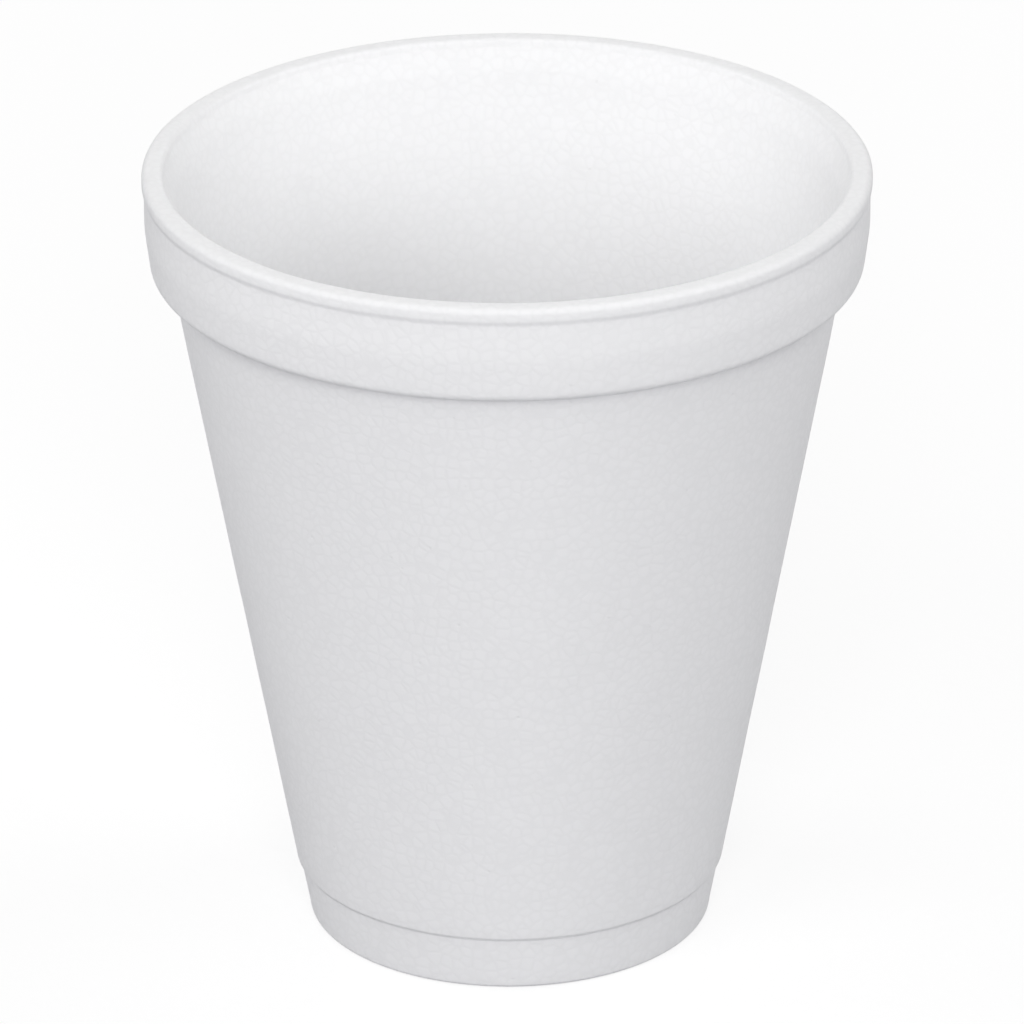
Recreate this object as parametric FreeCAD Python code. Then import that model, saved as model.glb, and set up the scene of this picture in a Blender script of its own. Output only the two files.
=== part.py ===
import FreeCAD, Part
import math
import os

# Disposable moulded foam cup, one solid, standing on its foot ring with
# the middle of the base at the origin.  Every size is in millimetres.

# Overall sizes
CUP_HEIGHT = 89.3
RIM_DIAMETER = 80.0
BASE_DIAMETER = 44.8

# Wall and floor
WALL_THICKNESS = 2.1          # measured level, the same all the way up
FLOOR_THICKNESS = 3.0
FLOOR_CORNER = 3.0            # rounding between the floor and the inner wall

# Rolled lip along the top of the rim
LIP_WIDTH = 2.4               # across the top of the lip, roundings included
LIP_HEIGHT = 1.7              # how far the lip reaches down the outside
LIP_OVERHANG = 0.24           # how far the lip stands out past the collar
LIP_OUTER_ROUND = 0.7
LIP_INNER_ROUND = 0.55
LIP_UNDER_SLANT = 0.5         # height of the sloped underside of the overhang
LIP_UNDER_ROUND = 1.0
LIP_STAND = 0.9               # how far the lip stands above the flared mouth
LIP_DRAFT = 0.15              # how far the lip's inner side leans inward
LIP_GROOVE_ROUND = 0.3
MOUTH_DEPTH = 3.4             # from the top of the lip to the end of the flare
MOUTH_ROUND = 2.5

# Thick collar under the lip, with a ledge where it meets the wall
COLLAR_HEIGHT = 11.0          # from the top of the cup to the ledge
COLLAR_TUCK = 0.6             # how far the collar draws in at its lower edge
COLLAR_STRAIGHT = 6.2         # straight part of the collar, lip included
LEDGE_WIDTH = 2.1
LEDGE_ROUND = 1.2
LEDGE_SLANT = 0.6             # how much lower the ledge ends at the wall
SHOULDER_ROUND = 12.0         # soft bend between the straight part and the tuck
CREASE_ROUND = 0.7            # rounding of the inner corner under the ledge

# Foot ring
FOOT_HEIGHT = 6.6
FOOT_FLARE = 1.25             # how much wider the foot is at its top
FOOT_STEP = 0.3               # how far the wall stands out past the foot
FOOT_STEP_SLANT = 0.4         # height of the sloped underside of the step
FOOT_STEP_ROUND = 0.6
FOOT_EDGE_ROUND = 0.6
FOOT_RING_WIDTH = 3.0
UNDERSIDE_RECESS = 2.5
RECESS_ROUND = 0.8
ROUNDED_SHARE = 0.98          # most of a side that its two roundings may take

# Round filling mark in the middle of the underside
MARK_DIAMETER = 9.0
MARK_DEPTH = 0.4
MARK_ROUND = 0.15

# Radii and heights that follow from the sizes above
RIM_RADIUS = RIM_DIAMETER / 2
BASE_RADIUS = BASE_DIAMETER / 2
COLLAR_RADIUS = RIM_RADIUS - LIP_OVERHANG
LEDGE_RADIUS = COLLAR_RADIUS - COLLAR_TUCK
LEDGE_LEVEL = CUP_HEIGHT - COLLAR_HEIGHT
WALL_TOP_RADIUS = LEDGE_RADIUS - LEDGE_WIDTH
FOOT_TOP_RADIUS = BASE_RADIUS + FOOT_FLARE
WALL_FOOT_RADIUS = FOOT_TOP_RADIUS + FOOT_STEP
WALL_SLOPE = (WALL_TOP_RADIUS - WALL_FOOT_RADIUS) / (LEDGE_LEVEL - FOOT_HEIGHT)
FLOOR_LEVEL = UNDERSIDE_RECESS + FLOOR_THICKNESS
MOUTH_LEVEL = CUP_HEIGHT - MOUTH_DEPTH


def outer_radius(level):
    """Radius of the outer wall at a height."""
    return WALL_FOOT_RADIUS + WALL_SLOPE * (level - FOOT_HEIGHT)


def inner_radius(level):
    """Radius of the inner wall at a height, parallel to the outer wall."""
    return outer_radius(level) - WALL_THICKNESS


def foot_radius(level):
    """Radius of the outside of the foot ring at a height."""
    return BASE_RADIUS + FOOT_FLARE * level / FOOT_HEIGHT


def outer_corners():
    """Corners up the outside, from the foot to the lip: radius, height, round."""
    foot_end = FOOT_HEIGHT - FOOT_STEP_SLANT / 2
    wall_start = FOOT_HEIGHT + FOOT_STEP_SLANT / 2
    wall_end = LEDGE_LEVEL - LEDGE_SLANT
    lip_under = CUP_HEIGHT - LIP_HEIGHT
    return [
        (BASE_RADIUS, 0.0, FOOT_EDGE_ROUND),
        (foot_radius(foot_end), foot_end, FOOT_STEP_ROUND),
        (outer_radius(wall_start), wall_start, FOOT_STEP_ROUND),
        (outer_radius(wall_end), wall_end, CREASE_ROUND),
        (LEDGE_RADIUS, LEDGE_LEVEL, LEDGE_ROUND),
        (COLLAR_RADIUS, CUP_HEIGHT - COLLAR_STRAIGHT, SHOULDER_ROUND),
        (COLLAR_RADIUS, lip_under - LIP_UNDER_SLANT / 2, LIP_UNDER_ROUND),
        (RIM_RADIUS, lip_under + LIP_UNDER_SLANT / 2, LIP_UNDER_ROUND),
        (RIM_RADIUS, CUP_HEIGHT, LIP_OUTER_ROUND),
    ]


def inner_corners():
    """Corners down the inside, from the lip to the middle of the floor."""
    lip_radius = RIM_RADIUS - LIP_WIDTH
    return [
        (lip_radius, CUP_HEIGHT, LIP_INNER_ROUND),
        (lip_radius - LIP_DRAFT, CUP_HEIGHT - LIP_STAND, LIP_GROOVE_ROUND),
        (inner_radius(MOUTH_LEVEL), MOUTH_LEVEL, MOUTH_ROUND),
        (inner_radius(FLOOR_LEVEL), FLOOR_LEVEL, FLOOR_CORNER),
        (0.0, FLOOR_LEVEL, 0.0),
    ]


def underside_corners():
    """Corners across the underside, from its middle out to the foot ring."""
    mark_radius = MARK_DIAMETER / 2
    ring_radius = BASE_RADIUS - FOOT_RING_WIDTH
    return [
        (0.0, UNDERSIDE_RECESS + MARK_DEPTH, 0.0),
        (mark_radius, UNDERSIDE_RECESS + MARK_DEPTH, MARK_ROUND),
        (mark_radius, UNDERSIDE_RECESS, MARK_ROUND),
        (ring_radius, UNDERSIDE_RECESS, RECESS_ROUND),
        (ring_radius, 0.0, FOOT_EDGE_ROUND),
    ]


def point(radius, height):
    """A point of the half section, drawn in the XZ plane."""
    return FreeCAD.Vector(radius, 0.0, height)


def half_angle(before, corner, after):
    """Half of the angle between the two sides that meet at a corner."""
    return (before - corner).getAngle(after - corner) / 2


def held_reaches(spots, roundings):
    """How far each rounding reaches along its sides, held to what they have."""
    count = len(spots)
    wanted = []
    for index, spot in enumerate(spots):
        after = spots[(index + 1) % count]
        half = half_angle(spots[index - 1], spot, after)
        wanted.append(roundings[index] / math.tan(half))
    held = list(wanted)
    for index, spot in enumerate(spots):
        other = (index + 1) % count
        room = ROUNDED_SHARE * (spots[other] - spot).Length
        asked = wanted[index] + wanted[other]
        if asked > room:
            held[index] = min(held[index], wanted[index] * room / asked)
            held[other] = min(held[other], wanted[other] * room / asked)
    return held


def rounded_corner(before, corner, after, reach):
    """Start, middle and end of the arc that rounds one corner."""
    half = half_angle(before, corner, after)
    rounding = reach * math.tan(half)
    back = (before - corner).normalize()
    ahead = (after - corner).normalize()
    bisector = (back + ahead).normalize()
    centre = corner + bisector * (rounding / math.sin(half))
    middle = centre - bisector * rounding
    return corner + back * reach, middle, corner + ahead * reach


def section_wire(corners):
    """Closed outline through the corners, each rounded by its own radius."""
    spots = [point(radius, height) for radius, height, _ in corners]
    reaches = held_reaches(spots, [rounding for _, _, rounding in corners])
    edges = []
    joins = []
    for index, spot in enumerate(spots):
        if reaches[index] == 0.0:
            joins.append((spot, spot))
            continue
        before = spots[index - 1]
        after = spots[(index + 1) % len(spots)]
        start, middle, end = rounded_corner(before, spot, after, reaches[index])
        edges.append(Part.Arc(start, middle, end).toShape())
        joins.append((start, end))
    for index, (_, leaving) in enumerate(joins):
        arriving = joins[(index + 1) % len(joins)][0]
        edges.append(Part.makeLine(leaving, arriving))
    return Part.Wire(Part.__sortEdges__(edges))


def make_cup():
    """The whole cup: its half section turned once round the upright axis."""
    corners = outer_corners() + inner_corners() + underside_corners()
    section = Part.Face(section_wire(corners))
    return section.revolve(point(0.0, 0.0), FreeCAD.Vector(0.0, 0.0, 1.0), 360.0)


os.makedirs("parts", exist_ok=True)
make_cup().exportStep("parts/cup.step")
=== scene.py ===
import math

import bpy
from mathutils import Matrix, Vector, noise


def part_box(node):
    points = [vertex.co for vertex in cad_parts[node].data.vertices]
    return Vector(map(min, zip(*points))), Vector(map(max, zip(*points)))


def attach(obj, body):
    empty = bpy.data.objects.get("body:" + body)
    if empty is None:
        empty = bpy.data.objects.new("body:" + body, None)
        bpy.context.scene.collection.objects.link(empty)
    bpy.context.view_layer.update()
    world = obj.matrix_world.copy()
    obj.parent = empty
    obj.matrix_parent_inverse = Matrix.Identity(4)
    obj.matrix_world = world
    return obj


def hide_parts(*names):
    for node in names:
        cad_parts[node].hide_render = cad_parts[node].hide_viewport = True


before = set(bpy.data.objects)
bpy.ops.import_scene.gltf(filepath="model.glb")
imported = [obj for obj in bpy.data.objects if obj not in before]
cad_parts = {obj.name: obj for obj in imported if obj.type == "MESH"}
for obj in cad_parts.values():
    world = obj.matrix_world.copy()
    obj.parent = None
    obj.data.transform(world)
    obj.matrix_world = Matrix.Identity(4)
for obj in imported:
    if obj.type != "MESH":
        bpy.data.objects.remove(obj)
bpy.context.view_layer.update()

# The cup's sizes in metres.  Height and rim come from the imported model, and
# the rest repeats the sizes that its solid was made with.
MM = 0.001
LOW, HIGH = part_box("cup")
CUP_HEIGHT = HIGH[2] - LOW[2]
RIM_RADIUS = (HIGH[0] - LOW[0]) / 2
BASE_RADIUS = 22.4 * MM
WALL_THICKNESS = 2.1 * MM
FLOOR_LEVEL = 5.5 * MM
FLOOR_CORNER = 3.0 * MM
LIP_WIDTH = 2.4 * MM
LIP_HEIGHT = 1.7 * MM
LIP_OVERHANG = 0.24 * MM
LIP_OUTER_ROUND = 0.7 * MM
LIP_INNER_ROUND = 0.55 * MM
LIP_UNDER_SLANT = 0.5 * MM
LIP_UNDER_ROUND = 1.0 * MM
LIP_STAND = 0.9 * MM
LIP_DRAFT = 0.15 * MM
LIP_GROOVE_ROUND = 0.3 * MM
MOUTH_DEPTH = 3.4 * MM
MOUTH_ROUND = 2.5 * MM
COLLAR_HEIGHT = 11.0 * MM
COLLAR_TUCK = 0.6 * MM
COLLAR_STRAIGHT = 6.2 * MM
LEDGE_WIDTH = 2.1 * MM
LEDGE_ROUND = 1.2 * MM
LEDGE_SLANT = 0.6 * MM
SHOULDER_ROUND = 12.0 * MM
CREASE_ROUND = 0.7 * MM
FOOT_HEIGHT = 6.6 * MM
FOOT_FLARE = 1.25 * MM
FOOT_STEP = 0.3 * MM
FOOT_STEP_SLANT = 0.4 * MM
FOOT_STEP_ROUND = 0.6 * MM
FOOT_EDGE_ROUND = 0.6 * MM
FOOT_RING_WIDTH = 3.0 * MM
UNDERSIDE_RECESS = 2.5 * MM
RECESS_ROUND = 0.8 * MM
MARK_RADIUS = 4.5 * MM
MARK_DEPTH = 0.4 * MM
MARK_ROUND = 0.15 * MM

# How finely the visible mesh follows the section
TURN_STEPS = 288
STRAIGHT_STEP = 1.25 * MM
ARC_STEP = math.radians(13)
ON_AXIS = 1e-7

# How far the moulded surface wanders from the true section, always inward
WANDER = 0.05 * MM
WANDER_SPAN = 9.0 * MM
TRUE_BELOW = 1.0 * MM         # the foot's resting edge keeps its true shape
FINE_WANDER = 3.1             # how much finer the second, weaker wander is
FINE_SHIFT = Vector((7.0, 3.0, 1.0))

# The foam: its beads, the pinholes here and there, soft clouding and grain
FOAM_WHITE = (0.95, 0.95, 0.958, 1.0)
BEAD_SIZE = 1.3 * MM
CELL_RANDOMNESS = 0.85
PINHOLE_SPACING = 3.3 * MM
CLOUD_SIZE = 14.0 * MM
GRAIN_SIZE = 0.35 * MM
RELIEF_DEPTH = 0.016 * MM

# The floor: what it throws back onto the cup, and how it looks itself
FLOOR_RADIUS = 4.0
FLOOR_SIDES = 96
FLOOR_BOUNCE = (0.37, 0.37, 0.39, 1.0)
FLOOR_SHADED = (0.3, 0.3, 0.3, 1.0)
FLOOR_GLOW = 0.74

# The light: an even world and large round lamps, each with its azimuth from
# the camera's side and its elevation in degrees, and its power in watts
WORLD_LEVEL = 0.39
LAMP_SIZE = 0.9
LAMP_DISTANCE = 1.6
LAMP_TARGET = Vector((0.0, 0.0, 0.05))
LAMPS = [
    ("front", 0, 25, 11.5),
    ("key_left", -40, 41, 4.2),
    ("fill_right", 70, 20, 2.1),
    ("side_left", -105, 35, 5.1),
    ("side_right", 108, 36, 5.6),
    ("back", 180, 25, 2.5),
]

# The camera's place in metres and turns in radians, fitted to the photo
CAMERA_BACK = 1.0214
CAMERA_UP = 0.5102
CAMERA_PITCH = 0.4251
CAMERA_YAW = -0.000387
CAMERA_ROLL = -0.0040
LENS_MM = 355.16
SENSOR_MM = 36.0


def foam_section():
    """Corners of the half section: radius, height and rounding of each."""
    collar = RIM_RADIUS - LIP_OVERHANG
    ledge = collar - COLLAR_TUCK
    ledge_level = CUP_HEIGHT - COLLAR_HEIGHT
    foot_top = BASE_RADIUS + FOOT_FLARE
    wall_foot = foot_top + FOOT_STEP
    wall_top = ledge - LEDGE_WIDTH
    slope = (wall_top - wall_foot) / (ledge_level - FOOT_HEIGHT)
    foot_end = FOOT_HEIGHT - FOOT_STEP_SLANT / 2
    wall_start = FOOT_HEIGHT + FOOT_STEP_SLANT / 2
    wall_end = ledge_level - LEDGE_SLANT
    lip_under = CUP_HEIGHT - LIP_HEIGHT
    lip_inner = RIM_RADIUS - LIP_WIDTH
    mouth_level = CUP_HEIGHT - MOUTH_DEPTH
    ring = BASE_RADIUS - FOOT_RING_WIDTH
    mark_level = UNDERSIDE_RECESS + MARK_DEPTH

    def outer(level):
        return wall_foot + slope * (level - FOOT_HEIGHT)

    def inner(level):
        return outer(level) - WALL_THICKNESS

    return [
        (0.0, mark_level, 0.0),
        (MARK_RADIUS, mark_level, MARK_ROUND),
        (MARK_RADIUS, UNDERSIDE_RECESS, MARK_ROUND),
        (ring, UNDERSIDE_RECESS, RECESS_ROUND),
        (ring, 0.0, FOOT_EDGE_ROUND),
        (BASE_RADIUS, 0.0, FOOT_EDGE_ROUND),
        (BASE_RADIUS + FOOT_FLARE * foot_end / FOOT_HEIGHT, foot_end, FOOT_STEP_ROUND),
        (outer(wall_start), wall_start, FOOT_STEP_ROUND),
        (outer(wall_end), wall_end, CREASE_ROUND),
        (ledge, ledge_level, LEDGE_ROUND),
        (collar, CUP_HEIGHT - COLLAR_STRAIGHT, SHOULDER_ROUND),
        (collar, lip_under - LIP_UNDER_SLANT / 2, LIP_UNDER_ROUND),
        (RIM_RADIUS, lip_under + LIP_UNDER_SLANT / 2, LIP_UNDER_ROUND),
        (RIM_RADIUS, CUP_HEIGHT, LIP_OUTER_ROUND),
        (lip_inner, CUP_HEIGHT, LIP_INNER_ROUND),
        (lip_inner - LIP_DRAFT, CUP_HEIGHT - LIP_STAND, LIP_GROOVE_ROUND),
        (inner(mouth_level), mouth_level, MOUTH_ROUND),
        (inner(FLOOR_LEVEL), FLOOR_LEVEL, FLOOR_CORNER),
        (0.0, FLOOR_LEVEL, 0.0),
    ]


def rounded(before, corner, after, radius):
    """Points along the arc that rounds one corner of the section."""
    back = (before - corner).normalized()
    ahead = (after - corner).normalized()
    half = back.angle(ahead) / 2
    reach = radius / math.tan(half)
    centre = corner + (back + ahead).normalized() * (radius / math.sin(half))
    start = corner + back * reach - centre
    sweep = start.angle_signed(corner + ahead * reach - centre)
    steps = max(3, math.ceil(abs(sweep) / ARC_STEP))
    points = []
    for i in range(steps + 1):
        turn = Matrix.Rotation(-sweep * i / steps, 2)
        points.append(centre + turn @ start)
    return points


def section_points():
    """The whole half section from the underside's middle to the floor's."""
    corners = foam_section()
    spots = [Vector((r, z)) for r, z, _ in corners]
    outline = [spots[0]]
    for i in range(1, len(spots)):
        radius = corners[i][2]
        part = [spots[i]]
        if radius:
            part = rounded(spots[i - 1], spots[i], spots[i + 1], radius)
        run = part[0] - outline[-1]
        steps = max(1, round(run.length / STRAIGHT_STEP))
        last = outline[-1]
        outline += [last + run * k / steps for k in range(1, steps)]
        outline += part
    return outline


def wander(point):
    """How deep the surface lies here below the true section."""
    if point.z < TRUE_BELOW:
        return 0.0
    slow = noise.noise(point / WANDER_SPAN)
    fine = noise.noise(point / WANDER_SPAN * FINE_WANDER + FINE_SHIFT)
    return WANDER * max(0.0, 0.5 + 0.6 * slow + 0.2 * fine)


def ring_points(spot, outward):
    """One point of the section turned round, as a ring that wanders inward."""
    ring = []
    for k in range(TURN_STEPS):
        angle = 2 * math.pi * k / TURN_STEPS
        side = Vector((math.sin(angle), math.cos(angle), 0.0))
        here = side * spot.x + Vector((0.0, 0.0, spot.y))
        inset = spot - outward * wander(here)
        ring.append((side.x * inset.x, side.y * inset.x, inset.y))
    return ring


def surface_points(outline):
    """Every point of the surface, and the numbers of the points in each ring."""
    points = []
    rings = []
    for i, spot in enumerate(outline):
        if spot.x < ON_AXIS:
            ring = [(0.0, 0.0, spot.y)]
        else:
            tangent = (outline[i + 1] - outline[i - 1]).normalized()
            ring = ring_points(spot, Vector((tangent.y, -tangent.x)))
        rings.append(range(len(points), len(points) + len(ring)))
        points += ring
    return points, rings


def band_faces(low, high, v0, v1):
    """The faces between two neighbouring rings, and their UV corners."""
    faces = []
    uvs = []
    for k in range(TURN_STEPS):
        n = (k + 1) % TURN_STEPS
        u0, u1 = k / TURN_STEPS, (k + 1) / TURN_STEPS
        middle = (u0 + u1) / 2
        if len(low) == 1:
            faces.append((low[0], high[k], high[n]))
            uvs += [(middle, v0), (u0, v1), (u1, v1)]
        elif len(high) == 1:
            faces.append((low[k], high[0], low[n]))
            uvs += [(u0, v0), (middle, v1), (u1, v0)]
        else:
            faces.append((low[k], high[k], high[n], low[n]))
            uvs += [(u0, v0), (u0, v1), (u1, v1), (u1, v0)]
    return faces, uvs


def shares_along(outline):
    """How far along the outline each of its points lies, from 0 to 1."""
    lengths = [0.0]
    for a, b in zip(outline, outline[1:]):
        lengths.append(lengths[-1] + (b - a).length)
    return [length / lengths[-1] for length in lengths]


def add_object(name, data):
    """A new object in the scene."""
    made = bpy.data.objects.new(name, data)
    bpy.context.collection.objects.link(made)
    return made


def make_cup():
    """The visible cup: the half section turned round, with one UV rectangle."""
    outline = section_points()
    along = shares_along(outline)
    points, rings = surface_points(outline)
    faces = []
    uvs = []
    for i in range(len(rings) - 1):
        band, corners = band_faces(rings[i], rings[i + 1], along[i], along[i + 1])
        faces += band
        uvs += corners
    mesh = bpy.data.meshes.new("foam_cup")
    mesh.from_pydata(points, [], faces)
    layer = mesh.uv_layers.new(name="OFBake")
    for loop, uv in zip(layer.data, uvs):
        loop.uv = uv
    mesh.validate()
    mesh.shade_smooth()
    return add_object("foam_cup", mesh)


def link(tree, start, end):
    tree.links.new(start, end)


def node(tree, kind, **settings):
    """A new shader node with its settings."""
    made = tree.nodes.new(kind)
    for name, value in settings.items():
        setattr(made, name, value)
    return made


def maths(tree, operation, a, b):
    """One step of arithmetic on two sockets or numbers."""
    made = node(tree, "ShaderNodeMath", operation=operation)
    for socket, value in zip(made.inputs, (a, b)):
        if isinstance(value, (int, float)):
            socket.default_value = value
        else:
            link(tree, value, socket)
    return made.outputs[0]


def spread(tree, value, low, high, to_low, to_high, smooth=False):
    """The value carried over from one range to another."""
    made = node(tree, "ShaderNodeMapRange")
    if smooth:
        made.interpolation_type = "SMOOTHSTEP"
    link(tree, value, made.inputs["Value"])
    made.inputs["From Min"].default_value = low
    made.inputs["From Max"].default_value = high
    made.inputs["To Min"].default_value = to_low
    made.inputs["To Max"].default_value = to_high
    return made.outputs["Result"]


def cells(tree, place, feature, size):
    """Cells that fill space, like beads pressed together."""
    made = node(tree, "ShaderNodeTexVoronoi", feature=feature)
    made.inputs["Scale"].default_value = 1 / size
    made.inputs["Randomness"].default_value = CELL_RANDOMNESS
    link(tree, place, made.inputs["Vector"])
    return made.outputs


def mottle(tree, place, size, detail):
    """Soft random patches of about this size."""
    made = node(tree, "ShaderNodeTexNoise")
    made.inputs["Scale"].default_value = 1 / size
    made.inputs["Detail"].default_value = detail
    link(tree, place, made.inputs["Vector"])
    return made.outputs["Fac"]


def new_material(name):
    """An empty material, and the tree that holds its nodes."""
    material = bpy.data.materials.new(name)
    material.use_nodes = True
    material.node_tree.nodes.clear()
    return material, material.node_tree


def foam_material():
    """White bead foam: fused cells under a soft moulded skin."""
    material, tree = new_material("white_bead_foam")
    shader = node(tree, "ShaderNodeBsdfPrincipled")
    output = node(tree, "ShaderNodeOutputMaterial")
    link(tree, shader.outputs[0], output.inputs["Surface"])

    # crown is 1 on a bead and 0 in its seams, skin is 0 in a pinhole, and
    # bead is one random number for each bead
    place = node(tree, "ShaderNodeTexCoord").outputs["Object"]
    edge = cells(tree, place, "DISTANCE_TO_EDGE", BEAD_SIZE)["Distance"]
    gap = cells(tree, place, "F1", PINHOLE_SPACING)["Distance"]
    tint = node(tree, "ShaderNodeSeparateColor")
    link(tree, cells(tree, place, "F1", BEAD_SIZE)["Color"], tint.inputs[0])
    bead = tint.outputs[0]
    crown = spread(tree, edge, 0.0, 0.24, 0.0, 1.0, smooth=True)
    skin = spread(tree, gap, 0.03, 0.07, 0.0, 1.0, smooth=True)
    cloud = mottle(tree, place, CLOUD_SIZE, 2.0)
    grain = mottle(tree, place, GRAIN_SIZE, 3.0)

    # Colour: each bead a shade apart, the seams a touch darker, and painted shade in
    # the pinholes
    shade = maths(tree, "MULTIPLY", spread(tree, bead, 0, 1, 0.99, 1.0),
                  spread(tree, crown, 0, 1, 0.978, 1.0))
    # Painted shade: the colour is a touch darker in the pinholes, which also dip in
    # the relief
    shade = maths(tree, "MULTIPLY", shade, spread(tree, skin, 0, 1, 0.98, 1.0))
    shade = maths(tree, "MULTIPLY", shade, spread(tree, cloud, 0.3, 0.7, 0.995, 1.0))
    colour = node(tree, "ShaderNodeMix", data_type="RGBA", blend_type="MULTIPLY")
    colour.inputs["Factor"].default_value = 1.0
    colour.inputs["A"].default_value = FOAM_WHITE
    link(tree, shade, colour.inputs["B"])
    link(tree, colour.outputs["Result"], shader.inputs["Base Color"])

    # Roughness: the skin is a little glossier on the crowns of the beads
    rough = maths(tree, "ADD", spread(tree, crown, 0, 1, 0.68, 0.58),
                  spread(tree, cloud, 0.3, 0.7, -0.03, 0.03))
    link(tree, rough, shader.inputs["Roughness"])

    # Relief: shallow seams round the beads, pinholes and a fine grain
    relief = maths(tree, "ADD", maths(tree, "MULTIPLY", crown, 0.9),
                   maths(tree, "MULTIPLY", grain, 0.35))
    relief = maths(tree, "ADD", relief, maths(tree, "MULTIPLY", bead, 0.3))
    relief = maths(tree, "ADD", relief, maths(tree, "MULTIPLY", skin, 1.5))
    bump = node(tree, "ShaderNodeBump")
    bump.inputs["Strength"].default_value = 1.0
    bump.inputs["Distance"].default_value = RELIEF_DEPTH
    link(tree, relief, bump.inputs["Height"])
    link(tree, bump.outputs[0], shader.inputs["Normal"])

    shader.inputs["IOR"].default_value = 1.45
    shader.inputs["Specular IOR Level"].default_value = 0.3
    return material


def seen_directly(tree):
    """1 where the camera sees it, straight or in a shiny or clear surface."""
    path = node(tree, "ShaderNodeLightPath").outputs
    seen = maths(tree, "MAXIMUM", path["Is Camera Ray"], path["Is Glossy Ray"])
    return maths(tree, "MAXIMUM", seen, path["Is Transmission Ray"])


def mixed(tree, share, first, second):
    """The first shader where share is 0, and the second where it is 1."""
    mix = node(tree, "ShaderNodeMixShader")
    link(tree, share, mix.inputs[0])
    link(tree, first.outputs[0], mix.inputs[1])
    link(tree, second.outputs[0], mix.inputs[2])
    return mix


def floor_mesh():
    """A flat ring, open under the foot ring, where the cup covers it.

    Light reaches the underside through it when the cup is seen from below.
    """
    verts = []
    for radius in (BASE_RADIUS - FOOT_RING_WIDTH / 2, FLOOR_RADIUS):
        for k in range(FLOOR_SIDES):
            angle = 2 * math.pi * k / FLOOR_SIDES
            verts.append((radius * math.cos(angle), radius * math.sin(angle), 0.0))
    faces = []
    for k in range(FLOOR_SIDES):
        n = (k + 1) % FLOOR_SIDES
        faces.append((k, k + FLOOR_SIDES, n + FLOOR_SIDES, n))
    mesh = bpy.data.meshes.new("floor")
    mesh.from_pydata(verts, [], faces)
    return mesh


def floor_material():
    """White to look at with the cup's shadow kept, and clear from below."""
    material, tree = new_material("floor_white")
    plain = node(tree, "ShaderNodeBsdfDiffuse")
    plain.inputs["Color"].default_value = FLOOR_BOUNCE
    shadow = node(tree, "ShaderNodeBsdfDiffuse")
    shadow.inputs["Color"].default_value = FLOOR_SHADED
    glow = node(tree, "ShaderNodeEmission")
    glow.inputs["Strength"].default_value = FLOOR_GLOW
    shown = node(tree, "ShaderNodeAddShader")
    link(tree, shadow.outputs[0], shown.inputs[0])
    link(tree, glow.outputs[0], shown.inputs[1])
    above = mixed(tree, seen_directly(tree), plain, shown)
    clear = node(tree, "ShaderNodeBsdfTransparent")
    behind = node(tree, "ShaderNodeNewGeometry").outputs["Backfacing"]
    sided = mixed(tree, behind, above, clear)
    output = node(tree, "ShaderNodeOutputMaterial")
    link(tree, sided.outputs[0], output.inputs["Surface"])
    return material


def make_floor():
    floor = add_object("floor", floor_mesh())
    floor.data.materials.append(floor_material())


def make_world(level):
    """White to look at, and a plain even light on the cup."""
    world = bpy.data.worlds.new("studio")
    bpy.context.scene.world = world
    world.use_nodes = True
    tree = world.node_tree
    tree.nodes.clear()
    back = node(tree, "ShaderNodeBackground")
    strength = spread(tree, seen_directly(tree), 0, 1, level, 1.0)
    link(tree, strength, back.inputs["Strength"])
    output = node(tree, "ShaderNodeOutputWorld")
    link(tree, back.outputs[0], output.inputs["Surface"])


def soft_light(name, azimuth, elevation, power):
    """A large round lamp that points at the cup."""
    lamp = bpy.data.lights.new(name, "AREA")
    lamp.shape = "DISK"
    lamp.size = LAMP_SIZE
    lamp.energy = power
    turn, rise = math.radians(azimuth), math.radians(elevation)
    level = LAMP_DISTANCE * math.cos(rise)
    height = LAMP_DISTANCE * math.sin(rise)
    place = Vector((level * math.sin(turn), -level * math.cos(turn), height))
    holder = add_object(name, lamp)
    holder.location = place
    holder.rotation_euler = (LAMP_TARGET - place).to_track_quat("-Z", "Y").to_euler()
    holder.visible_camera = False


def make_camera():
    """A long lens from the front, looking down on the cup."""
    data = bpy.data.cameras.new("camera")
    data.sensor_width = SENSOR_MM
    data.lens = LENS_MM
    camera = add_object("camera", data)
    turn = Matrix.Rotation(CAMERA_YAW, 4, "Z")
    turn = turn @ Matrix.Rotation(math.pi / 2 - CAMERA_PITCH, 4, "X")
    turn = turn @ Matrix.Rotation(CAMERA_ROLL, 4, "Z")
    camera.matrix_world = Matrix.Translation((0.0, -CAMERA_BACK, CAMERA_UP)) @ turn
    bpy.context.scene.camera = camera


cup = make_cup()
cup.data.materials.append(foam_material())
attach(cup, "root")
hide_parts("cup")

make_floor()
make_world(WORLD_LEVEL)
for lamp_settings in LAMPS:
    soft_light(*lamp_settings)
make_camera()
bpy.context.scene.view_settings.view_transform = "Standard"
